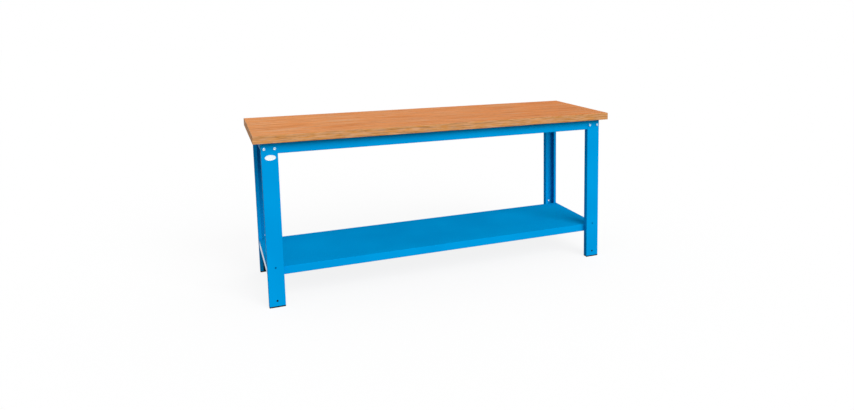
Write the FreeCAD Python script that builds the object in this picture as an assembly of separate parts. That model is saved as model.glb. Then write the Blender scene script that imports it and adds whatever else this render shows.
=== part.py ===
import FreeCAD, Part
import math
import os

# Assembly table: a lipped beech worktop on a bolted frame of folded sheet steel, with a steel shelf.
# Millimetres. +X runs along the length, -Y is the front, +Z is up.
# The origin is on the floor, under the centre of the worktop.

V = FreeCAD.Vector
LEFT, RIGHT = -1, 1
FRONT, REAR = -1, 1
CORNERS = {
    "front_left": (LEFT, FRONT),
    "front_right": (RIGHT, FRONT),
    "rear_left": (LEFT, REAR),
    "rear_right": (RIGHT, REAR),
}

# ---------------------------------------------------------------- driving dimensions, mm

# worktop
top_length = 2000.0
top_depth = 700.0
top_thickness = 40.0
table_height = 900.0
lipping_thickness = 3.0
arris = 1.2  # chamfer along every outer edge of the worktop

# frame as a whole
end_overhang = 38.0
front_overhang = 40.0
rear_overhang = 44.0
frame_sheet = 2.0
inner_bend = 1.0  # inside radius of every fold
end_gap = 0.5  # play at the ends of rails and ties

# legs
leg_width = 80.0
leg_depth = 36.0
leg_lip = 18.0
accessory_hole_radius = 4.2
accessory_hole_height = 211.0

# rails and ties under the worktop
rail_height = 60.0
rail_depth = 28.0
tie_height = 50.0
tie_depth = 28.0

# shelf tray
shelf_height = 200.0
shelf_flange = 42.0
shelf_return = 12.0
shelf_sheet = 1.5
shelf_inset = 2.0  # from the outer face of the legs to the end of the tray
stiffener_width = 40.0
stiffener_height = 25.0
stiffener_foot = 12.0
stiffener_spacing = 270.0
stiffener_end_gap = 8.0

# bolts of the frame (M8) and of the shelf (M6)
rail_bolt_edge = 15.0  # from either edge of a leg to the bolt beside it
rail_bolt_lowering = 4.0  # below the middle of the rail
frame_bolt = {"radius": 4.0, "flats": 13.0, "head": 5.3, "nut": 6.5}
shelf_bolt = {"radius": 3.0, "flats": 10.0, "head": 4.0, "nut": 5.0}
bolt_hole_clearance = 0.5
thread_clearance = 0.1
bolt_tail = 2.0  # shank that stands out of the nut

# wood screws that hold the worktop
screws_per_rail = 5
tie_screw_spacing = 260.0
screw_radius = 2.5
screw_head_radius = 5.0
screw_head_height = 3.0
screw_length = 34.0
screw_tip = 5.0
screw_clearance = 0.25

# plastic feet
foot_height = 7.0
foot_chamfer = 1.0
foot_wall = 3.0
foot_insert = 43.0
foot_clearance = 0.3
peg_radius = 5.0
peg_height = 35.0
peg_recess = 0.3
peg_clearance = 0.2

# blank oval plate on the front left leg
badge_width = 52.0
badge_height = 28.0
badge_thickness = 1.2
badge_rim = 2.6
badge_recess = 0.4
badge_drop = 79.0
badge_offset = 3.0

# ---------------------------------------------------------------- sizes that follow from them

underside = table_height - top_thickness
frame_half_length = top_length / 2 - end_overhang
frame_front = -top_depth / 2 + front_overhang
frame_rear = top_depth / 2 - rear_overhang
frame_middle = (frame_front + frame_rear) / 2
outer_bend = inner_bend + frame_sheet
rail_half_length = frame_half_length - 2 * frame_sheet - end_gap
shelf_half_length = frame_half_length - shelf_inset
shelf_front = frame_front + leg_depth
shelf_rear = frame_rear - leg_depth
shelf_outer_bend = inner_bend + shelf_sheet
lip_middle = (outer_bend + leg_lip) / 2
shelf_bolt_height = shelf_height - shelf_flange / 2


# ---------------------------------------------------------------- helpers


def at_corner(side, face, inward, depth, z):
    """Point inward mm in from the end of the frame and depth mm in from its front or rear face."""
    x = side * (frame_half_length - inward)
    y = frame_front + depth if face == FRONT else frame_rear - depth
    return V(x, y, z)


def rounded_wire(corners, place):
    """Closed wire through (a, b, radius) corners, each one rounded by a tangent arc of its radius."""
    runs = []
    for index, (a, b, radius) in enumerate(corners):
        here = V(a, b, 0)
        before = V(*corners[index - 1][:2], 0) - here
        after = V(*corners[(index + 1) % len(corners)][:2], 0) - here
        before.normalize()
        after.normalize()
        half_angle = before.getAngle(after) / 2
        bisector = (before + after).normalize()
        reach = radius / math.tan(half_angle)
        arc_middle = here + bisector * (radius / math.sin(half_angle) - radius)
        runs.append((here + before * reach, arc_middle, here + after * reach, radius))
    edges = []
    for index, (start, middle, end, radius) in enumerate(runs):
        following = runs[(index + 1) % len(runs)][0]
        first, between, last, onward = [place(p.x, p.y) for p in (start, middle, end, following)]
        if radius > 0:
            edges.append(Part.Arc(first, between, last).toShape())
        edges.append(Part.LineSegment(last, onward).toShape())
    return Part.Wire(edges)


def extruded(corners, place, along):
    return Part.Face(rounded_wire(corners, place)).extrude(along)


def box_between(first, second):
    """Box between any two opposite corners."""
    low = V(min(first.x, second.x), min(first.y, second.y), min(first.z, second.z))
    high = V(max(first.x, second.x), max(first.y, second.y), max(first.z, second.z))
    size = high - low
    return Part.makeBox(size.x, size.y, size.z, low)


def channel_section(width, depth, sheet, lip=0.0):
    """Folded C section: the web lies along a at b = 0, the flanges run to b = depth, lips turn in."""
    near, far = inner_bend, inner_bend + sheet
    web = [(0, 0, far), (width, 0, far)]
    inside = [(width - sheet, sheet, near), (sheet, sheet, near)]
    if lip == 0:
        far_end = [(width, depth, 0), (width - sheet, depth, 0)]
        return web + far_end + inside + [(sheet, depth, 0), (0, depth, 0)]
    lip_right = [(width, depth, far), (width - lip, depth, 0), (width - lip, depth - sheet, 0)]
    lip_right.append((width - sheet, depth - sheet, near))
    lip_left = [(sheet, depth - sheet, near), (lip, depth - sheet, 0), (lip, depth, 0), (0, depth, far)]
    return web + lip_right + inside + lip_left


def hat_section(width, height, foot, sheet):
    """Folded hat section with its feet at b = 0 and its crown at b = height."""
    half = width / 2
    near, far = inner_bend, inner_bend + sheet
    inside = [(-half + sheet, 0, far), (-half + sheet, height - sheet, near)]
    inside += [(half - sheet, height - sheet, near), (half - sheet, 0, far)]
    outside = [(half, sheet, near), (half, height, far), (-half, height, far), (-half, sheet, near)]
    right_foot = [(half + foot, 0, 0), (half + foot, sheet, 0)]
    left_foot = [(-half - foot, sheet, 0), (-half - foot, 0, 0)]
    return inside + right_foot + outside + left_foot


def spread(count, span):
    """count positions evenly spaced over span, centred on 0, half a pitch from each end."""
    pitch = span / count
    return [pitch * (index + 0.5) - span / 2 for index in range(count)]


def hexagon(centre, direction, flats, height):
    """Hexagonal prism from centre along direction, its outer corners bevelled at 45 degrees."""
    corner_radius = flats / math.sqrt(3)
    ring = [V(corner_radius * math.cos(math.radians(a)), corner_radius * math.sin(math.radians(a)), 0)
            for a in range(0, 360, 60)]
    prism = Part.Face(Part.makePolygon(ring + ring[:1])).extrude(V(0, 0, height))
    bevel = Part.makeCone(flats / 2 + height, flats / 2, height)
    solid = prism.common(bevel)
    solid.Placement = FreeCAD.Placement(centre, FreeCAD.Rotation(V(0, 0, 1), direction))
    return solid


def hex_bolt(seat, direction, bolt, length):
    """Bolt whose head rests on seat and whose shank runs along direction."""
    head = hexagon(seat, direction * -1, bolt["flats"], bolt["head"])
    shank = Part.makeCylinder(bolt["radius"], length, seat, direction)
    return head.fuse(shank).removeSplitter()


def hex_nut(seat, direction, bolt):
    """Nut that rests on seat and stands out along direction."""
    bore = Part.makeCylinder(bolt["radius"] + thread_clearance, bolt["nut"], seat, direction)
    return hexagon(seat, direction, bolt["flats"], bolt["nut"]).cut(bore)


def hole(point, direction, radius, length):
    """Round cutter, length long, centred on point."""
    return Part.makeCylinder(radius, length, point - direction * (length / 2), direction)


# ---------------------------------------------------------------- fastener places

INWARD_Y = {FRONT: V(0, 1, 0), REAR: V(0, -1, 0)}
frame_bolt_hole = frame_bolt["radius"] + bolt_hole_clearance
shelf_bolt_hole = shelf_bolt["radius"] + bolt_hole_clearance
frame_bolt_length = 2 * frame_sheet + frame_bolt["nut"] + bolt_tail
shelf_bolt_length = shelf_sheet + frame_sheet + shelf_bolt["nut"] + bolt_tail


def rail_bolt_points(side, face, depth):
    """Two bolts side by side in the head of a leg's web, at a depth from the leg's face."""
    z = underside - rail_height / 2 - rail_bolt_lowering
    places = (rail_bolt_edge, leg_width - rail_bolt_edge)
    return [at_corner(side, face, inward, depth, z) for inward in places]


def shelf_bolt_points(side, face, depth):
    """One bolt in the middle of each of a leg's two lips."""
    places = (lip_middle, leg_width - lip_middle)
    return [at_corner(side, face, inward, depth, shelf_bolt_height) for inward in places]


def rail_screw_points(face):
    depth = frame_sheet + rail_depth / 2
    y = frame_front + depth if face == FRONT else frame_rear - depth
    return [V(x, y, underside) for x in spread(screws_per_rail, 2 * rail_half_length)]


def tie_screw_points(side):
    x = side * (frame_half_length - frame_sheet - tie_depth / 2)
    half = tie_screw_spacing / 2
    return [V(x, frame_middle + offset, underside) for offset in (-half, half)]


def all_screw_points():
    rails = rail_screw_points(FRONT) + rail_screw_points(REAR)
    return rails + tie_screw_points(LEFT) + tie_screw_points(RIGHT)


# ---------------------------------------------------------------- worktop


def worktop_blank():
    """The whole slab with its lippings, every outer edge chamfered."""
    slab = box_between(V(-top_length / 2, -top_depth / 2, underside),
                       V(top_length / 2, top_depth / 2, table_height))
    return slab.makeChamfer(arris, slab.Edges)


def worktop_panel(blank):
    half_length = top_length / 2 - lipping_thickness
    half_depth = top_depth / 2 - lipping_thickness
    core = box_between(V(-half_length, -half_depth, underside), V(half_length, half_depth, table_height))
    panel = blank.common(core)
    pilots = []
    for point in all_screw_points():
        seat = point - V(0, 0, frame_sheet)
        pilots.append(screw_shank(seat, screw_clearance))
    return panel.cut(Part.makeCompound(pilots))


def long_lipping(blank, face):
    """Front or rear lipping, over the whole length."""
    outer = face * top_depth / 2
    inner = outer - face * lipping_thickness
    strip = box_between(V(-top_length / 2, outer, underside), V(top_length / 2, inner, table_height))
    return blank.common(strip)


def end_lipping(blank, side):
    """Left or right lipping, between the long ones."""
    outer = side * top_length / 2
    inner = outer - side * lipping_thickness
    half_depth = top_depth / 2 - lipping_thickness
    strip = box_between(V(outer, -half_depth, underside), V(inner, half_depth, table_height))
    return blank.common(strip)


def screw_shank(seat, growth=0.0):
    """Shank and point of a wood screw that starts at seat and goes up, grown by a clearance."""
    straight = screw_length - screw_tip
    body = Part.makeCylinder(screw_radius + growth, straight, seat)
    tip_seat = seat + V(0, 0, straight)
    tip = Part.makeCone(screw_radius + growth, screw_radius / 4 + growth, screw_tip + growth, tip_seat)
    return body.fuse(tip)


def worktop_screws():
    screws = []
    for point in all_screw_points():
        seat = point - V(0, 0, frame_sheet)
        head = Part.makeCylinder(screw_head_radius, screw_head_height, seat, V(0, 0, -1))
        lowest = [edge for edge in head.Edges if edge.BoundBox.ZMax < seat.z - screw_head_height / 2]
        head = head.makeFillet(screw_head_height / 3, lowest)
        screws.append(head.fuse(screw_shank(seat)).removeSplitter())
    return Part.makeCompound(screws)


# ---------------------------------------------------------------- frame


def leg(side, face):
    """Lipped C profile, its web outwards. At its head only the web and the outer flange go on up,
    so that the rail and the tie slide in behind them."""
    post = extruded(channel_section(leg_width, leg_depth, frame_sheet, leg_lip),
                    lambda inward, depth: at_corner(side, face, inward, depth, foot_height),
                    V(0, 0, underside - foot_height))
    head_bottom = underside - rail_height - 2 * end_gap
    beyond = leg_depth + outer_bend
    inner_flange = box_between(at_corner(side, face, leg_width - outer_bend, frame_sheet, head_bottom),
                            at_corner(side, face, leg_width + outer_bend, beyond, table_height))
    lips = box_between(at_corner(side, face, -outer_bend, leg_depth - outer_bend, head_bottom),
                    at_corner(side, face, leg_width + outer_bend, beyond, table_height))
    post = post.cut(inner_flange).cut(lips)

    through = 3 * frame_sheet
    cutters = []
    for point in rail_bolt_points(side, face, 0):
        cutters.append(hole(point, INWARD_Y[face], frame_bolt_hole, through))
    for point in shelf_bolt_points(side, face, leg_depth):
        cutters.append(hole(point, INWARD_Y[face], shelf_bolt_hole, through))
    accessory = at_corner(side, face, leg_width / 2, 0, accessory_hole_height)
    cutters.append(hole(accessory, INWARD_Y[face], accessory_hole_radius, through))
    peg = at_corner(side, face, leg_width / 2, 0, peg_height)
    cutters.append(hole(peg, INWARD_Y[face], peg_radius + peg_clearance, through))
    return post.cut(Part.makeCompound(cutters))


def rail(face):
    """C beam behind the webs of the front or the rear legs."""
    end = frame_half_length - rail_half_length

    def place(drop, depth):
        return at_corner(LEFT, face, end, frame_sheet + depth, underside - drop)

    beam = extruded(channel_section(rail_height, rail_depth, frame_sheet), place, V(2 * rail_half_length, 0, 0))
    cutters = []
    for side in (LEFT, RIGHT):
        for point in rail_bolt_points(side, face, frame_sheet):
            cutters.append(hole(point, INWARD_Y[face], frame_bolt_hole, 3 * frame_sheet))
    for point in rail_screw_points(face):
        cutters.append(hole(point, V(0, 0, 1), screw_radius + screw_clearance, 3 * frame_sheet))
    return beam.cut(Part.makeCompound(cutters))


def tie(side):
    """C beam between the front and the rear leg. A flat tongue of its web is spot-welded to the outer
    flange in each leg's head."""
    tongue_start = 2 * frame_sheet + end_gap
    beam_start = frame_sheet + rail_depth + 2 * end_gap

    def place_at(start):
        return lambda drop, depth: at_corner(side, FRONT, frame_sheet + depth, start, underside - drop)

    beam_length = frame_rear - frame_front - 2 * beam_start
    section = channel_section(tie_height, tie_depth, frame_sheet)
    beam = extruded(section, place_at(beam_start), V(0, beam_length, 0))
    web_low = underside - tie_height + outer_bend
    web_high = underside - outer_bend
    tongues = box_between(at_corner(side, FRONT, frame_sheet, tongue_start, web_low),
                       at_corner(side, REAR, 2 * frame_sheet, tongue_start, web_high))
    beam = beam.fuse(tongues).removeSplitter()
    cutters = [hole(point, V(0, 0, 1), screw_radius + screw_clearance, 3 * frame_sheet)
               for point in tie_screw_points(side)]
    return beam.cut(Part.makeCompound(cutters))


# ---------------------------------------------------------------- shelf


def shelf_tray():
    """Sheet folded down along the front and the back, with a return along the bottom of each fold.
    The returns stop short of the ends, where the end pieces sit."""
    bottom = shelf_height - shelf_flange
    tray = extruded(channel_section(shelf_rear - shelf_front, shelf_flange, shelf_sheet, shelf_return),
                    lambda across, drop: V(-shelf_half_length, shelf_front + across, shelf_height - drop),
                    V(2 * shelf_half_length, 0, 0))
    cutters = []
    for side in (LEFT, RIGHT):
        end = side * shelf_half_length
        cutters.append(box_between(
            V(end, shelf_front + shelf_outer_bend, bottom),
            V(end - side * (shelf_return + end_gap), shelf_rear - shelf_outer_bend, bottom + shelf_sheet)))
    for side, face in CORNERS.values():
        for point in shelf_bolt_points(side, face, leg_depth):
            cutters.append(hole(point, INWARD_Y[face], shelf_bolt_hole, 3 * frame_sheet))
    return tray.cut(Part.makeCompound(cutters))


def shelf_end(side):
    """C section that closes one end of the tray, welded under its sheet between the two folds."""
    top = shelf_height - shelf_sheet
    start = shelf_front + shelf_outer_bend
    return extruded(channel_section(shelf_flange - shelf_sheet, shelf_return, shelf_sheet),
                    lambda drop, inward: V(side * (shelf_half_length - inward), start, top - drop),
                    V(0, shelf_rear - shelf_outer_bend - start, 0))


def stiffener(face):
    """Hat section welded lengthwise under the tray."""
    half_length = shelf_half_length - shelf_return - stiffener_end_gap
    middle = frame_middle + face * stiffener_spacing / 2
    top = shelf_height - shelf_sheet
    return extruded(hat_section(stiffener_width, stiffener_height, stiffener_foot, shelf_sheet),
                    lambda across, drop: V(-half_length, middle + across, top - drop),
                    V(2 * half_length, 0, 0))


# ---------------------------------------------------------------- feet and badge


def rounded_block(side, face, inset, radius, low, high):
    """Upright block inside a leg's outline."""
    corners = [(inset, inset, radius), (leg_width - inset, inset, radius),
               (leg_width - inset, leg_depth - inset, radius), (inset, leg_depth - inset, radius)]
    return extruded(corners,
                    lambda inward, depth: at_corner(side, face, inward, depth, low),
                    V(0, 0, high - low))


def foot(side, face):
    """Plastic cap under a leg: a sole as large as the leg, a hollow insert, and a snap peg."""
    sole = rounded_block(side, face, 0, outer_bend, 0, foot_height)
    bottom_edges = [edge for edge in sole.Edges if edge.BoundBox.ZMax < foot_chamfer / 2]
    sole = sole.makeChamfer(foot_chamfer, bottom_edges)
    outside = frame_sheet + foot_clearance
    inside = outside + foot_wall
    top = foot_height + foot_insert
    insert = rounded_block(side, face, outside, inner_bend, foot_height, top)
    insert = insert.cut(rounded_block(side, face, inside, inner_bend, foot_height, top))
    peg_start = at_corner(side, face, leg_width / 2, peg_recess, peg_height)
    peg = Part.makeCylinder(peg_radius, outside + foot_wall / 2 - peg_recess, peg_start, INWARD_Y[face])
    return sole.fuse(insert).fuse(peg).removeSplitter()


def oval(centre, width, height, thickness, direction):
    """Elliptical plate in an upright plane, thickness thick along direction."""
    outline = Part.Ellipse(centre + V(width / 2, 0, 0), centre + V(0, 0, height / 2), centre)
    return Part.Face(Part.Wire(outline.toShape())).extrude(direction * thickness)


def badge_plate():
    outwards = INWARD_Y[FRONT] * -1
    seat = at_corner(LEFT, FRONT, leg_width / 2 + badge_offset, 0, underside - badge_drop)
    plate = oval(seat, badge_width, badge_height, badge_thickness, outwards)
    floor = seat + outwards * (badge_thickness - badge_recess)
    field = oval(floor, badge_width - 2 * badge_rim, badge_height - 2 * badge_rim, badge_recess, outwards)
    return plate.cut(field)


# ---------------------------------------------------------------- bolts and nuts


def rail_bolts():
    return Part.makeCompound([hex_bolt(point, INWARD_Y[face], frame_bolt, frame_bolt_length)
                              for side, face in CORNERS.values()
                              for point in rail_bolt_points(side, face, 0)])


def rail_nuts():
    return Part.makeCompound([hex_nut(point, INWARD_Y[face], frame_bolt)
                              for side, face in CORNERS.values()
                              for point in rail_bolt_points(side, face, 2 * frame_sheet)])


def shelf_bolts():
    return Part.makeCompound([hex_bolt(point, INWARD_Y[face] * -1, shelf_bolt, shelf_bolt_length)
                              for side, face in CORNERS.values()
                              for point in shelf_bolt_points(side, face, leg_depth + shelf_sheet)])


def shelf_nuts():
    return Part.makeCompound([hex_nut(point, INWARD_Y[face] * -1, shelf_bolt)
                              for side, face in CORNERS.values()
                              for point in shelf_bolt_points(side, face, leg_depth - frame_sheet)])


# ---------------------------------------------------------------- all nodes


def build():
    blank = worktop_blank()
    nodes = {
        "worktop_panel": worktop_panel(blank),
        "front_edge_lipping": long_lipping(blank, FRONT),
        "rear_edge_lipping": long_lipping(blank, REAR),
        "left_edge_lipping": end_lipping(blank, LEFT),
        "right_edge_lipping": end_lipping(blank, RIGHT),
        "worktop_screws": worktop_screws(),
        "front_rail": rail(FRONT),
        "rear_rail": rail(REAR),
        "left_tie": tie(LEFT),
        "right_tie": tie(RIGHT),
        "shelf_tray": shelf_tray(),
        "left_shelf_end": shelf_end(LEFT),
        "right_shelf_end": shelf_end(RIGHT),
        "front_stiffener": stiffener(FRONT),
        "rear_stiffener": stiffener(REAR),
        "badge_plate": badge_plate(),
        "rail_bolts": rail_bolts(),
        "rail_nuts": rail_nuts(),
        "shelf_bolts": shelf_bolts(),
        "shelf_nuts": shelf_nuts(),
    }
    for name, (side, face) in CORNERS.items():
        nodes[name + "_leg"] = leg(side, face)
        nodes[name + "_foot"] = foot(side, face)
    return nodes


os.makedirs("parts", exist_ok=True)
for node, shape in build().items():
    shape.exportStep("parts/" + node + ".step")
    print(node, "solids", len(shape.Solids), "volume", round(shape.Volume), "valid", shape.isValid())
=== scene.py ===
"""Looks of the assembly table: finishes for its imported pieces, detailed fasteners and badge, floor,
light and camera."""
import math

import bpy
import numpy as np
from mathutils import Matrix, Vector


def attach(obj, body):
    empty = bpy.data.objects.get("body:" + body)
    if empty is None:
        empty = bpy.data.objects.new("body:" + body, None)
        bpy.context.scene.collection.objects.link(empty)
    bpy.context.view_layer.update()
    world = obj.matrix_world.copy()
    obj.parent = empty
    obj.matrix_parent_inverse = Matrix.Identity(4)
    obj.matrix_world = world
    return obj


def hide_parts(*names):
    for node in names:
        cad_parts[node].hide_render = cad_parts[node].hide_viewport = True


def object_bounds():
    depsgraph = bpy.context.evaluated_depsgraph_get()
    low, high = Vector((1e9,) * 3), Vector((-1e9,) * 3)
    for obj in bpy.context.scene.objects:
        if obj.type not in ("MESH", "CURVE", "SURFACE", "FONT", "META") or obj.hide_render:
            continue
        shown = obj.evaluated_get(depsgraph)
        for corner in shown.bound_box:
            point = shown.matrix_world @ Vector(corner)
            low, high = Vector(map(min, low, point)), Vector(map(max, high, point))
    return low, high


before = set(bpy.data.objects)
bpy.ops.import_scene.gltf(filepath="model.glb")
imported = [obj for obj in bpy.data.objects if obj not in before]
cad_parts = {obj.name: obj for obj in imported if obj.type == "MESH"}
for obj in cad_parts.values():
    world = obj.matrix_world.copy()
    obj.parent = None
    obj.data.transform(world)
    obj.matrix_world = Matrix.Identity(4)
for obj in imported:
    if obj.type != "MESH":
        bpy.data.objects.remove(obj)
packed_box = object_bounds()

MM = 0.001
BODY = "table"
X, Y, Z = range(3)
OUTWARD, INWARD = 1, -1

# ---------------------------------------------------------------- fasteners, mm where nothing else is said

FRAME_BOLT = {"head": 5.3, "radius": 4.0, "pitch": 1.25}
SHELF_BOLT = {"head": 4.0, "radius": 3.0, "pitch": 1.0}
WOOD_SCREW = {"head": 3.0, "head_radius": 5.0, "radius": 2.5, "pitch": 2.4}
THREAD_PLAY = 0.1  # between a bolt and the bore of its nut

FASTENER_COLUMNS = 48  # vertices round a fastener
FASTENER_FOLD = 35.0  # degrees; a fold of more stays sharp
METRIC_THREAD_RINGS = 8  # to a pitch
METRIC_THREAD_DEPTH = 0.6  # share of the pitch
METRIC_THREAD_END = 0.8  # share of its radius to which a bolt narrows over its last pitch
BOLT_TIP = 0.7  # share of its radius, the flat end of a bolt

# a hexagon head or nut, with radii as shares of its width across flats
DISH = [(0.05, 0.35), (0.30, 0.30), (0.36, 0.05), (0.38, 0.0)]  # radius, and depth below the crown in mm
CROWN = 0.475  # the flat face inside the chamfer of the corners
CHAMFER_SLOPE = math.tan(math.radians(30))
WASHER_FACE = 0.48
WASHER_FACE_HEIGHT = 0.3
NUT_SINK = 0.08  # chamfer at both ends of the bore

# a wood screw, with radii as shares of its head's radius and depths as shares of its head's height
HEAD_RINGS = [0.06, 0.14, 0.22, 0.30, 0.38, 0.46, 0.54, 0.70, 0.85, 0.95, 1.0]
DOME_FALL = 0.3  # from the middle of the head to its rim
RECESS_DEPTH = 0.55
RECESS_REACH = 0.55
RECESS_RUN_OUT = 0.2  # the last part of the reach, in which an arm gets shallower
RECESS_ARM = 0.16  # half the width of an arm
RECESS_WALL = 0.25  # mm over which an arm's side goes down
WOOD_THREAD_RINGS = 6  # to a pitch
WOOD_THREAD_DEPTH = 0.3  # share of the shank's radius
SCREW_POINT = 6.0  # mm at the end over which the shank narrows
SCREW_POINT_SHARE = 0.12  # share of its radius that the shank keeps at its end

# ---------------------------------------------------------------- badge, mm

BADGE_COLUMNS = 96  # vertices round the badge
BADGE_FOLD = 50.0  # degrees; a fold of more stays sharp
BADGE_RIM = 2.6
BADGE_RECESS = 0.4

# ---------------------------------------------------------------- camera and light, metres

PICTURE_WIDTH = 854  # pixels
CAMERA_LENS_PIXELS = 717.92  # focal length, in the same pixels
CAMERA_PLACE = (-1.2066, -4.0595, 1.4827)
CAMERA_PITCH = 0.1434  # radians, down
CAMERA_HEADING = 0.4456  # radians, from straight at the front round to the right
CAMERA_SHIFT = (-0.1358, -0.1007)  # picture widths

WHITE = (1.0, 1.0, 1.0, 1.0)
AMBIENT = 0.6
KEY_TOWARDS = (0.2, -0.75, 0.5)  # from the table to the key light
KEY_STRENGTH = 2.35
KEY_SPREAD = math.radians(40)
FLOOR_BOUNCE = 0.3  # grey of the floor as it throws light up
FLOOR_GLOW = 0.85  # share of the floor's white that no shadow dims
FLOOR_SIZE = 60.0

# ---------------------------------------------------------------- finishes, mm where nothing else is said

# specular levels of the paint, where 0.5 would be the gloss that its IOR gives
PAINT_SHINE = 0.00003
END_SHINE = 0.05  # the closing pieces of the tray keep more gloss than the faces that hands and boxes dull

LACQUER = {"Roughness": 0.55, "Specular_IOR_Level": 0.02}  # satin, clear, on all of the beech
LEAF_WIDTH = 175.0  # one leaf of veneer
RING_SPACING = 10.0  # a year's growth is 2 to 3 mm, and a flat-sawn face cuts it aslant and spreads it
FLAME_LENGTH = 300.0  # one wave of the rings along the grain
FLAME_WIDTH = 45.0  # the same wave across the grain
FLAME_HEIGHT = 5.0  # ring spacings by which the rings wave up and down
EARLY_WOOD = 0.4  # share of a ring that stays pale


# ---------------------------------------------------------------- surfaces

def ring_faces(rows, columns, joined):
    """Quads between neighbouring rings of a rows by columns grid. Where it is joined, its last ring meets its
    first one. Otherwise it ends in two poles, which come after the rings as two more vertices."""
    column = np.arange(columns)
    following = (column + 1) % columns
    first = np.arange(rows if joined else rows - 1)[:, None]
    second = (first + 1) % rows
    quads = np.stack([first * columns + column, first * columns + following,
                      second * columns + following, second * columns + column], axis=-1).reshape(-1, 4)
    if joined:
        return quads.tolist()
    last = (rows - 1) * columns
    pole = np.full(columns, rows * columns)
    start = np.stack([pole, following, column], axis=-1)
    end = np.stack([last + column, last + following, pole + 1], axis=-1)
    return quads.tolist() + start.tolist() + end.tolist()


def facing_out(points, faces):
    """The faces, turned round where the volume that they enclose comes out negative: the sum of a . (b x c)
    over the triangles a, b, c that fan out from the first corner of each face."""
    fans = [(face[0], face[i], face[i + 1]) for face in faces for i in range(1, len(face) - 1)]
    a, b, c = np.moveaxis(points[np.array(fans)], 1, 0)
    volume = np.einsum("ij,ij->i", a, np.cross(b, c)).sum()
    return faces if volume > 0 else [face[::-1] for face in faces]


def full_turn(columns):
    """The angles of so many columns, evenly spread over a whole turn."""
    return np.arange(columns) / columns * math.tau


def rings_of(rows, angle):
    """Rings (a cos t, b sin t, h) at the angles t, from rows of a, b and h. Each of these is one number or
    has a value for every angle."""
    a, b, h = (np.stack([np.broadcast_to(value, angle.shape) for value in column]) for column in zip(*rows))
    return np.stack([a * np.cos(angle), b * np.sin(angle), h], axis=-1)


def round_rings(rows, angle):
    """Rings from rows of a radius and a height."""
    return rings_of([(radius, radius, height) for radius, height in rows], angle)


def capped(rings):
    """Points and faces of a stack of rings, closed by a pole in the middle of its first and last ring."""
    points = np.concatenate([rings.reshape(-1, 3), rings[[0, -1]].mean(axis=1)])
    return points, facing_out(points, ring_faces(*rings.shape[:2], joined=False))


def looped(rings):
    """Points and faces of rings that go round a bore, so that the last one meets the first."""
    points = rings.reshape(-1, 3)
    return points, facing_out(points, ring_faces(*rings.shape[:2], joined=True))


def copies(points, faces, seats, directions, turns):
    """Copies of one shape: its own z axis goes along a direction, after a turn about that axis, and its
    origin goes to the seat. Place = seat + x u + y v + z w, with u, v, w a right-handed frame: w is the
    direction, and u is square to w and to the world's z, or to its x where w is upright."""
    w = np.asarray(directions, float)
    upright = np.abs(w[:, 2:]) > 0.5
    u = np.cross(np.where(upright, [[1.0, 0.0, 0.0]], [[0.0, 0.0, 1.0]]), w)
    v = np.cross(w, u)
    cosine = np.cos(turns)[:, None]
    sine = np.sin(turns)[:, None]
    axes = np.stack([u * cosine + v * sine, v * cosine - u * sine, w], axis=1)
    placed = np.einsum("pi,kij->kpj", points, axes) + np.asarray(seats)[:, None, :]
    every = [[index + k * len(points) for index in face] for k in range(len(seats)) for face in faces]
    return placed.reshape(-1, 3), every


def piece(name, node, material, points, faces, fold):
    """A finished piece from points in mm, on which folds of more than so many degrees stay sharp. It rides
    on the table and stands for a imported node."""
    mesh = bpy.data.meshes.new(name)
    mesh.from_pydata((points * MM).tolist(), [], faces)
    mesh.update()
    mesh.shade_smooth()
    mesh.set_sharp_from_angle(angle=math.radians(fold))
    mesh.materials.append(material)
    made = bpy.data.objects.new(name, mesh)
    bpy.context.scene.collection.objects.link(made)
    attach(made, BODY)
    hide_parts(node)


# ---------------------------------------------------------------- places in the frame

def solids_of(node):
    """Lowest and highest corner, in mm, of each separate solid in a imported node. Vertices that are at one
    place to 0.01 mm are merged, then every vertex takes the lowest label among its faces until no label
    changes."""
    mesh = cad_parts[node].data
    places = np.zeros(len(mesh.vertices) * 3)
    mesh.vertices.foreach_get("co", places)
    places = places.reshape(-1, 3) / MM
    corners = np.zeros(len(mesh.loops), int)
    mesh.loops.foreach_get("vertex_index", corners)
    merged = np.unique(np.round(places, 2), axis=0, return_inverse=True)[1].ravel()
    faces = merged[corners.reshape(-1, 3)]
    labels = np.arange(merged.max() + 1)
    while True:
        spread = labels.copy()
        np.minimum.at(spread, faces, labels[faces].min(axis=1)[:, None])
        if np.array_equal(spread, labels):
            break
        labels = spread
    groups = [places[labels[merged] == label] for label in np.unique(labels)]
    low = np.array([group.min(axis=0) for group in groups])
    high = np.array([group.max(axis=0) for group in groups])
    return low, high


def placed_solids(node, axis, way):
    """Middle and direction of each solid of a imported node, and the size of the first one. The direction runs
    along the axis, outward from the table's middle or inward."""
    low, high = solids_of(node)
    middle = (low + high) / 2
    directions = np.zeros_like(middle)
    directions[:, axis] = np.sign(middle[:, axis]) * way
    return middle, directions, (high - low)[0]


def across_flats(size, axis):
    """Width across flats: the smaller of a hexagon's two sizes square to its axis."""
    return np.delete(size, axis).min()


# ---------------------------------------------------------------- fasteners

def hexagon(angle, flats):
    """Distance from the middle to a hexagon's side at each angle: half its width across flats over the
    cosine of the angle from the middle of the nearest side."""
    from_flat = (angle + math.pi / 6) % (math.pi / 3) - math.pi / 6
    return flats / 2 / np.cos(from_flat)


def helix_radii(levels, angle, radius, pitch, depth):
    """Radii of a screw thread: from the crest in by its depth and back, as a triangle wave of the distance
    along the axis in pitches less the share of a turn, so that the wave climbs as a helix."""
    phase = (levels[:, None] / pitch - angle / math.tau) % 1.0
    return radius - depth * (1.0 - np.abs(2.0 * phase - 1.0))


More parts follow.
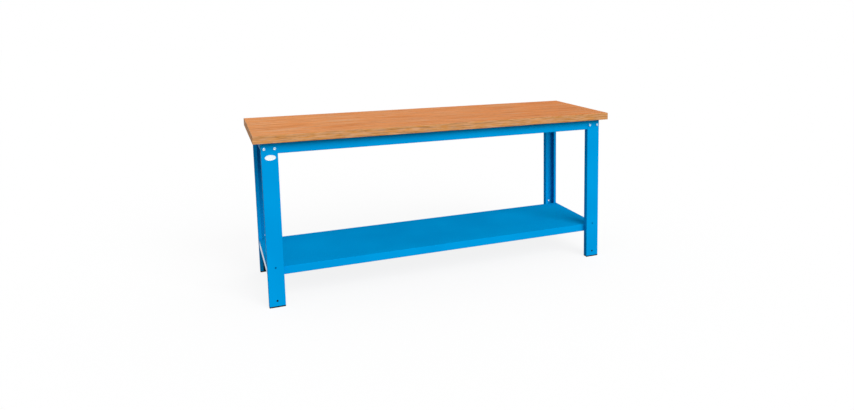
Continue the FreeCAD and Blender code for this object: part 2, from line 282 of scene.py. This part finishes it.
def hex_bolt(flats, head, radius, pitch, length):
    """Hexagon head with a dished crown, corners that a cone chamfers, and a washer face, on a fully threaded
    shank. The head stands on z = 0 and the shank ends at minus its length."""
    angle = full_turn(FASTENER_COLUMNS)
    sides = hexagon(angle, flats)
    crown = CROWN * flats
    washer_face = WASHER_FACE * flats
    levels = np.arange(0.0, -length, -pitch / METRIC_THREAD_RINGS)
    from_end = np.clip((levels + length) / pitch, 0.0, 1.0)[:, None]
    narrowing = METRIC_THREAD_END + (1.0 - METRIC_THREAD_END) * from_end
    thread = helix_radii(levels, angle, radius, pitch, METRIC_THREAD_DEPTH * pitch) * narrowing
    rows = [(share * flats, head - depth) for share, depth in DISH]
    rows += [
        (crown, head),
        (sides, head - (sides - crown) * CHAMFER_SLOPE),
        (sides, WASHER_FACE_HEIGHT),
        (washer_face, WASHER_FACE_HEIGHT),
        (washer_face, 0.0),
        *zip(thread, levels),
        (BOLT_TIP * radius, -length),
    ]
    return capped(round_rings(rows, angle))


def hex_nut(flats, height, bore):
    """Hexagon nut: rows from the bore's lower edge round the chamfered flanks and back to the bore. It
    stands on z = 0."""
    angle = full_turn(FASTENER_COLUMNS)
    sides = hexagon(angle, flats)
    crown = CROWN * flats
    fall = (sides - crown) * CHAMFER_SLOPE
    sink = NUT_SINK * flats
    rows = [
        (bore, sink), (bore + sink, 0.0), (crown, 0.0), (sides, fall),
        (sides, height - fall), (crown, height), (bore + sink, height), (bore, height - sink),
    ]
    return looped(round_rings(rows, angle))


def cross_recess_screw(head, head_radius, radius, pitch, length):
    """Pan-head wood screw: a head that falls with the fourth power of the radius, a cross recess whose arms
    run out shallow, and a coarse helical thread on a shank that narrows to its point. The head fills z = 0
    to minus its height, the shank goes up."""
    angle = full_turn(FASTENER_COLUMNS)
    shares = np.array(HEAD_RINGS)[:, None]
    across = shares * head_radius
    dome = DOME_FALL * head * shares ** 4 - head
    off_arm = np.minimum(np.abs(across * np.sin(angle)), np.abs(across * np.cos(angle)))
    in_arm = np.clip((RECESS_ARM * head_radius - off_arm) / RECESS_WALL, 0.0, 1.0)
    run_out = np.clip((RECESS_REACH - shares) / RECESS_RUN_OUT, 0.0, 1.0)
    face = dome + RECESS_DEPTH * head * in_arm * run_out
    levels = np.arange(0.0, length, pitch / WOOD_THREAD_RINGS)
    narrowing = np.clip((length - levels) / SCREW_POINT, SCREW_POINT_SHARE, 1.0)[:, None]
    thread = helix_radii(levels, angle, radius, pitch, WOOD_THREAD_DEPTH * radius) * narrowing
    rows = [*zip(across, face), (head_radius, 0.0), *zip(thread, levels)]
    return capped(round_rings(rows, angle))


def fasteners(name, node, material, shape, seats, directions, seed):
    """Zinc-plated copies of one shape. Each ended its tightening at a random angle of its own."""
    turns = np.random.default_rng(seed).uniform(0, math.tau, len(seats))
    points, faces = copies(*shape, seats, directions, turns)
    piece(name, node, material, points, faces, FASTENER_FOLD)


def bolts(name, node, axis, way, sizes, material, seed):
    """Hex bolts whose heads face along the direction."""
    middle, directions, size = placed_solids(node, axis, way)
    length = size[axis] - sizes["head"]
    shape = hex_bolt(across_flats(size, axis), sizes["head"], sizes["radius"], sizes["pitch"], length)
    seats = middle + directions * (size[axis] / 2 - sizes["head"])
    fasteners(name, node, material, shape, seats, directions, seed)


def nuts(name, node, axis, sizes, material, seed):
    """Hex nuts, each from the inner face of its solid to the outer one."""
    middle, directions, size = placed_solids(node, axis, OUTWARD)
    shape = hex_nut(across_flats(size, axis), size[axis], sizes["radius"] + THREAD_PLAY)
    seats = middle - directions * (size[axis] / 2)
    fasteners(name, node, material, shape, seats, directions, seed)


def wood_screws(name, node, sizes, material, seed):
    """Upright wood screws with their heads at the lower end."""
    middle, directions, size = placed_solids(node, Z, OUTWARD)
    length = size[Z] - sizes["head"]
    shape = cross_recess_screw(sizes["head"], sizes["head_radius"], sizes["radius"], sizes["pitch"], length)
    seats = middle + directions * (size[Z] / 2 - length)
    fasteners(name, node, material, shape, seats, directions, seed)


# ---------------------------------------------------------------- badge

def oval_badge(width, height, thickness):
    """Blank oval plate from rings of the ellipse ((a - inset) cos t, (b - inset) sin t): a sunk field, a
    rim with rounded shoulders and a flat back. It stands on z = 0."""
    field = thickness - BADGE_RECESS
    profile = [  # share of the ellipse, inset, z
        (0.35, 0.0, field), (0.7, 0.0, field), (1.0, BADGE_RIM + 0.1, field),
        (1.0, BADGE_RIM - 0.1, field + 0.08), (1.0, BADGE_RIM - 0.35, thickness - 0.06),
        (1.0, BADGE_RIM - 0.6, thickness), (1.0, 0.6, thickness), (1.0, 0.3, thickness - 0.08),
        (1.0, 0.08, thickness - 0.3), (1.0, 0.0, thickness - 0.6), (1.0, 0.0, 0.0), (0.5, 0.0, 0.0),
    ]
    rows = [(share * (width / 2 - inset), share * (height / 2 - inset), z) for share, inset, z in profile]
    return capped(rings_of(rows, full_turn(BADGE_COLUMNS)))


def badge(material):
    """The badge plate, with its back on the leg and its field facing out."""
    middle, directions, size = placed_solids("badge_plate", Y, OUTWARD)
    seats = middle - directions * (size[Y] / 2)
    points, faces = copies(*oval_badge(size[X], size[Z], size[Y]), seats, directions, turns=np.zeros(1))
    piece("oval_badge", "badge_plate", material, points, faces, BADGE_FOLD)


# ---------------------------------------------------------------- materials

def linear(code):
    """Linear colour of an sRGB hex code: a straight line near black and a power of 2.4 above it."""
    parts = np.array([int(code[i:i + 2], 16) for i in (0, 2, 4)]) / 255
    parts = np.where(parts <= 0.04045, parts / 12.92, ((parts + 0.055) / 1.055) ** 2.4)
    return (*parts.tolist(), 1.0)


def add(tree, kind, values=None, links=None, ramp=None, **settings):
    """Adds a shader node with its settings, the values and the links of its inputs, and its ramp's stops."""
    node = tree.nodes.new("ShaderNode" + kind)
    for name, value in settings.items():
        setattr(node, name, value)
    for socket, value in (values or {}).items():
        node.inputs[socket].default_value = value
    for socket, source in (links or {}).items():
        tree.links.new(source, node.inputs[socket])
    if ramp:
        stops = node.color_ramp.elements
        while len(stops) < len(ramp):
            stops.new(0.5)
        for stop, (place, colour) in zip(stops, ramp):
            stop.position = place
            stop.color = linear(colour)
    return node


def new_material(name, **constants):
    """A named material, its node tree, its shader with these constants set, and its Object coordinates."""
    made = bpy.data.materials.new(name)
    made.use_nodes = True
    tree = made.node_tree
    shader = tree.nodes["Principled BSDF"]
    for socket, value in constants.items():
        shader.inputs[socket.replace("_", " ")].default_value = value
    return made, tree, shader, add(tree, "TexCoord").outputs["Object"]


def cells(tree, place, x, y, z, detail=2.0, roughness=0.5):
    """Noise whose soft cells measure x, y and z millimetres."""
    scaled = add(tree, "Mapping", {"Scale": (1000 / x, 1000 / y, 1000 / z)}, {"Vector": place})
    return add(tree, "TexNoise", {"Scale": 1.0, "Detail": detail, "Roughness": roughness},
               {"Vector": scaled.outputs["Vector"]}).outputs["Fac"]


def spread_to(tree, source, low, high, least, most):
    """The part of a pattern from low to high, spread from least to most."""
    values = {"From Min": low, "From Max": high, "To Min": least, "To Max": most}
    return add(tree, "MapRange", values, {"Value": source}).outputs["Result"]


def shaded(tree, colour, *tones):
    """A colour multiplied by each of the tones in turn."""
    for tone in tones:
        toned = add(tree, "VectorMath", links={0: colour, "Scale": tone}, operation="SCALE")
        colour = toned.outputs["Vector"]
    return colour


def relief(tree, shader, height, depth, strength):
    """Bump from a pattern, with its depth in millimetres."""
    bump = add(tree, "Bump", {"Strength": strength, "Distance": depth * MM}, {"Height": height})
    tree.links.new(bump.outputs["Normal"], shader.inputs["Normal"])


def polyester_powder_coat(name, shine):
    """Light-blue polyester powder coat, baked on: saturated, evenly smooth, with the faint orange peel of
    melted powder. Its film is a touch deeper in broad patches where more powder settled. The shine is what
    flashes white where a face is seen edge-on."""
    made, tree, shader, place = new_material(name, Roughness=0.08, Specular_IOR_Level=shine)
    film = cells(tree, place, 260, 260, 260, detail=1.0)
    colour = add(tree, "ValToRGB", links={"Fac": film}, ramp=[(0.3, "0093D7"), (0.7, "009ADE")])
    tree.links.new(colour.outputs["Color"], shader.inputs["Base Color"])
    # orange peel measures 2 mm; it is drawn at 5 mm, over a 24 mm waviness, so that it shows
    peel = cells(tree, place, 5, 5, 5, detail=1.0)
    wave = cells(tree, place, 24, 24, 24, detail=0.0)
    height = add(tree, "Math", links={0: peel, 1: wave}, operation="ADD").outputs["Value"]
    relief(tree, shader, height, depth=0.05, strength=0.12)
    return made


def lacquered_beech_veneer():
    """Sliced red beech under clear lacquer: warm salmon, with long soft bands of growth, fine streaks, the
    short dark flecks of beech's rays, and a slight change of tone from one leaf of veneer to the next. Painted
    shade darkens and warms it a little from the left end of the worktop to the right one, as the light falls
    off there."""
    made, tree, shader, place = new_material("lacquered_beech_veneer", **LACQUER)
    growth = cells(tree, place, 340, 15, 15, detail=3.0, roughness=0.65)
    colour = add(tree, "ValToRGB", links={"Fac": growth}, ramp=[
        (0.33, "B4703C"), (0.44, "DF8842"), (0.56, "DF9A61"), (0.67, "CDA37E")]).outputs["Color"]
    # streaks are 0.5 mm and flecks 0.3 by 3 mm; both are drawn about ten times as coarse so that they show
    streaks = cells(tree, place, 190, 5, 5, detail=2.0)
    flecks = cells(tree, place, 30, 2.6, 2.6, detail=0.0)
    apart = add(tree, "SeparateXYZ", links={"Vector": place}).outputs
    left_end = packed_box[0][X]
    right_end = packed_box[1][X]
    along = spread_to(tree, apart["X"], left_end, right_end, 0.0, 1.0)
    # painted shade: the worktop is made darker and warmer from its left end to its right one, for light that
    # falls off along it
    painted_shade_to_right = add(tree, "ValToRGB", links={"Fac": along},
                    ramp=[(0.0, "FFFFFF"), (0.55, "FAF4F0"), (0.8, "F8EBD9"), (1.0, "F6E9D8")])
    links = {0: colour, 1: painted_shade_to_right.outputs["Color"]}
    colour = add(tree, "VectorMath", links=links, operation="MULTIPLY").outputs["Vector"]
    leaf = add(tree, "Math", {1: LEAF_WIDTH * MM}, {0: apart["Y"]}, operation="SNAP").outputs["Value"]
    leaf = add(tree, "TexWhiteNoise", links={"W": leaf}, noise_dimensions="1D").outputs["Value"]
    colour = shaded(tree, colour,
                    spread_to(tree, streaks, 0.3, 0.7, 0.83, 1.15),
                    spread_to(tree, flecks, 0.60, 0.72, 1.0, 0.78),
                    spread_to(tree, leaf, 0.0, 1.0, 0.97, 1.03))
    tree.links.new(colour, shader.inputs["Base Color"])
    relief(tree, shader, streaks, depth=0.08, strength=0.3)
    return made


def lacquered_beech_lipping(name, length_axis):
    """Flat-sawn beech strip under clear lacquer: growth rings run along it as nested, waving lines that come
    and go, and in places close into a flame, over a mottle of orange and tan with the short flecks of the
    rays. A ring darkens towards its late wood and ends sharply, where height over the ring spacing plus
    stretched noise is whole."""
    made, tree, shader, place = new_material(name, **LACQUER)

    def stretched(length, width, **settings):
        """Noise whose soft cells have this length along the strip and this width across it."""
        return cells(tree, place, *[length if axis == length_axis else width for axis in "xyz"], **settings)

    flame = stretched(FLAME_LENGTH, FLAME_WIDTH, detail=1.5)
    flame = add(tree, "Math", {1: FLAME_HEIGHT}, {0: flame}, operation="MULTIPLY").outputs["Value"]
    height = add(tree, "SeparateXYZ", links={"Vector": place}).outputs["Z"]
    rings = add(tree, "Math", {1: 1000 / RING_SPACING}, {0: height, 2: flame}, operation="MULTIPLY_ADD")
    rings = add(tree, "Math", links={0: rings.outputs["Value"]}, operation="FRACT").outputs["Value"]
    late = spread_to(tree, stretched(110, 14), 0.42, 0.58, 0.92, 0.50)
    rings = add(tree, "MapRange", {"From Min": EARLY_WOOD, "To Min": 1.0}, {"Value": rings, "To Max": late})
    mottle = stretched(70, 7)
    colour = add(tree, "ValToRGB", links={"Fac": mottle},
                 ramp=[(0.34, "CB8947"), (0.5, "CF9560"), (0.66, "D29F75")]).outputs["Color"]
    # streaks are 0.5 mm and flecks 0.3 by 3 mm; both are drawn about eight times as coarse so that they show
    streaks = stretched(140, 4)
    flecks = stretched(22, 2.2, detail=0.0)
    colour = shaded(tree, colour, rings.outputs["Result"],
                    spread_to(tree, streaks, 0.3, 0.7, 0.88, 1.10),
                    spread_to(tree, flecks, 0.60, 0.72, 1.0, 0.80))
    tree.links.new(colour, shader.inputs["Base Color"])
    relief(tree, shader, streaks, depth=0.08, strength=0.3)
    return made


def bright_zinc_plate():
    """Bright zinc plating on rolled threads and pressed heads: a cool mirror, softened, with faint patches
    of blue and straw from its passivation."""
    made, tree, shader, place = new_material("bright_zinc_plate", Metallic=1.0)
    patches = cells(tree, place, 7, 7, 7, detail=2.0)
    colour = add(tree, "ValToRGB", links={"Fac": patches}, ramp=[(0.35, "96BEDA"), (0.65, "BBCFD8")])
    tree.links.new(colour.outputs["Color"], shader.inputs["Base Color"])
    tree.links.new(spread_to(tree, patches, 0.3, 0.7, 0.24, 0.36), shader.inputs["Roughness"])
    # the grain of the plating measures 0.2 mm; it is drawn at 0.8 mm
    relief(tree, shader, cells(tree, place, 0.8, 0.8, 0.8), depth=0.02, strength=0.2)
    return made


def moulded_nylon():
    """Injection-moulded black nylon: the spark-eroded mould leaves an even fine grain that kills the
    gloss."""
    made, tree, shader, place = new_material("moulded_nylon", Specular_IOR_Level=0.04)
    # the mould's grain measures 0.2 mm; it is drawn at 1.2 mm
    grain = cells(tree, place, 1.2, 1.2, 1.2, detail=1.0)
    colour = add(tree, "ValToRGB", links={"Fac": grain}, ramp=[(0.3, "060708"), (0.7, "0E0F11")])
    tree.links.new(colour.outputs["Color"], shader.inputs["Base Color"])
    tree.links.new(spread_to(tree, grain, 0.3, 0.7, 0.45, 0.6), shader.inputs["Roughness"])
    relief(tree, shader, grain, depth=0.1, strength=0.4)
    return made


def white_enamel():
    """Stove enamel, white: glassy, with a very slight waviness."""
    made, tree, shader, place = new_material("white_enamel", Roughness=0.15)
    pool = cells(tree, place, 9, 9, 9, detail=0.0)
    colour = add(tree, "ValToRGB", links={"Fac": pool}, ramp=[(0.3, "E9F3F8"), (0.7, "F2F7FA")])
    tree.links.new(colour.outputs["Color"], shader.inputs["Base Color"])
    relief(tree, shader, pool, depth=0.05, strength=0.3)
    return made


def finish_packed_nodes(finishes):
    """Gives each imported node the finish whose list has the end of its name."""
    for name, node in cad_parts.items():
        for material, endings in finishes:
            if name.endswith(endings):
                for slot in node.material_slots:
                    slot.material = material


# ---------------------------------------------------------------- surroundings

def seen_plainly(tree):
    """1 for rays that see the background as it is: from the camera, off gloss and through glass."""
    path = add(tree, "LightPath").outputs
    first = add(tree, "Math", links={0: path["Is Camera Ray"], 1: path["Is Glossy Ray"]}, operation="MAXIMUM")
    links = {0: first.outputs["Value"], 1: path["Is Transmission Ray"]}
    return add(tree, "Math", links=links, operation="MAXIMUM").outputs["Value"]


def studio_world():
    """White backdrop where it is seen, and an even ambient light."""
    world = bpy.data.worlds.new("studio")
    bpy.context.scene.world = world
    world.use_nodes = True
    tree = world.node_tree
    ambient = tree.nodes["Background"]
    ambient.inputs["Color"].default_value = WHITE
    ambient.inputs["Strength"].default_value = AMBIENT
    backdrop = add(tree, "Background", {"Color": WHITE, "Strength": 1.0})
    links = {0: seen_plainly(tree), 1: ambient.outputs["Background"], 2: backdrop.outputs["Background"]}
    both = add(tree, "MixShader", links=links)
    tree.links.new(both.outputs["Shader"], tree.nodes["World Output"].inputs["Surface"])


def studio_floor():
    """Plain pale floor. Seen plainly it is white, apart from the object's shadow; to other light it is a
    mid grey, so that it throws up a moderate light."""
    made = bpy.data.materials.new("pale_floor")
    made.use_nodes = True
    tree = made.node_tree
    tree.nodes.remove(tree.nodes["Principled BSDF"])
    bounce = add(tree, "BsdfDiffuse", {"Color": (FLOOR_BOUNCE, FLOOR_BOUNCE, FLOOR_BOUNCE, 1.0)})
    pale = add(tree, "BsdfDiffuse", {"Color": WHITE})
    glow = add(tree, "Emission", {"Strength": 1.0})
    shown = add(tree, "MixShader", {0: FLOOR_GLOW}, {1: pale.outputs["BSDF"], 2: glow.outputs["Emission"]})
    links = {0: seen_plainly(tree), 1: bounce.outputs["BSDF"], 2: shown.outputs["Shader"]}
    both = add(tree, "MixShader", links=links)
    tree.links.new(both.outputs["Shader"], tree.nodes["Material Output"].inputs["Surface"])
    half = FLOOR_SIZE / 2
    corners = [(-half, -half, 0), (half, -half, 0), (half, half, 0), (-half, half, 0)]
    mesh = bpy.data.meshes.new("floor")
    mesh.from_pydata(corners, [], [(0, 1, 2, 3)])
    mesh.materials.append(made)
    floor = bpy.data.objects.new("floor", mesh)
    bpy.context.scene.collection.objects.link(floor)


def key_light():
    """Large soft light from the front, a third of the way up and a little to the right."""
    lamp = bpy.data.lights.new("key", "SUN")
    lamp.energy = KEY_STRENGTH
    lamp.angle = KEY_SPREAD
    holder = bpy.data.objects.new("key", lamp)
    holder.rotation_euler = Vector(KEY_TOWARDS).to_track_quat("Z", "Y").to_euler()
    bpy.context.scene.collection.objects.link(holder)


def camera():
    """Camera at shoulder height, turned to the right and tipped down. The shift keeps the table in the
    frame."""
    lens = bpy.data.cameras.new("camera")
    lens.lens = CAMERA_LENS_PIXELS * lens.sensor_width / PICTURE_WIDTH
    lens.shift_x, lens.shift_y = CAMERA_SHIFT
    holder = bpy.data.objects.new("camera", lens)
    holder.location = CAMERA_PLACE
    holder.rotation_euler = (math.pi / 2 - CAMERA_PITCH, 0.0, -CAMERA_HEADING)
    bpy.context.scene.collection.objects.link(holder)
    bpy.context.scene.camera = holder


# ---------------------------------------------------------------- the whole

zinc = bright_zinc_plate()
bolts("rail_hex_bolts", "rail_bolts", Y, OUTWARD, FRAME_BOLT, zinc, seed=11)
bolts("shelf_hex_bolts", "shelf_bolts", Y, INWARD, SHELF_BOLT, zinc, seed=13)
nuts("rail_hex_nuts", "rail_nuts", Y, FRAME_BOLT, zinc, seed=21)
nuts("shelf_hex_nuts", "shelf_nuts", Y, SHELF_BOLT, zinc, seed=23)
wood_screws("cross_recess_screws", "worktop_screws", WOOD_SCREW, zinc, seed=31)
badge(white_enamel())
finish_packed_nodes([
    (lacquered_beech_veneer(), ("panel",)),
    (lacquered_beech_lipping("lacquered_beech_lipping_along", "x"),
     ("front_edge_lipping", "rear_edge_lipping")),
    (lacquered_beech_lipping("lacquered_beech_lipping_across", "y"),
     ("left_edge_lipping", "right_edge_lipping")),
    (polyester_powder_coat("polyester_powder_coat", PAINT_SHINE),
     ("rail", "tie", "tray", "stiffener", "leg")),
    (polyester_powder_coat("polyester_powder_coat_on_ends", END_SHINE), ("shelf_end",)),
    (moulded_nylon(), ("foot",)),
])
studio_world()
studio_floor()
key_light()
camera()
bpy.context.scene.view_settings.view_transform = "Standard"
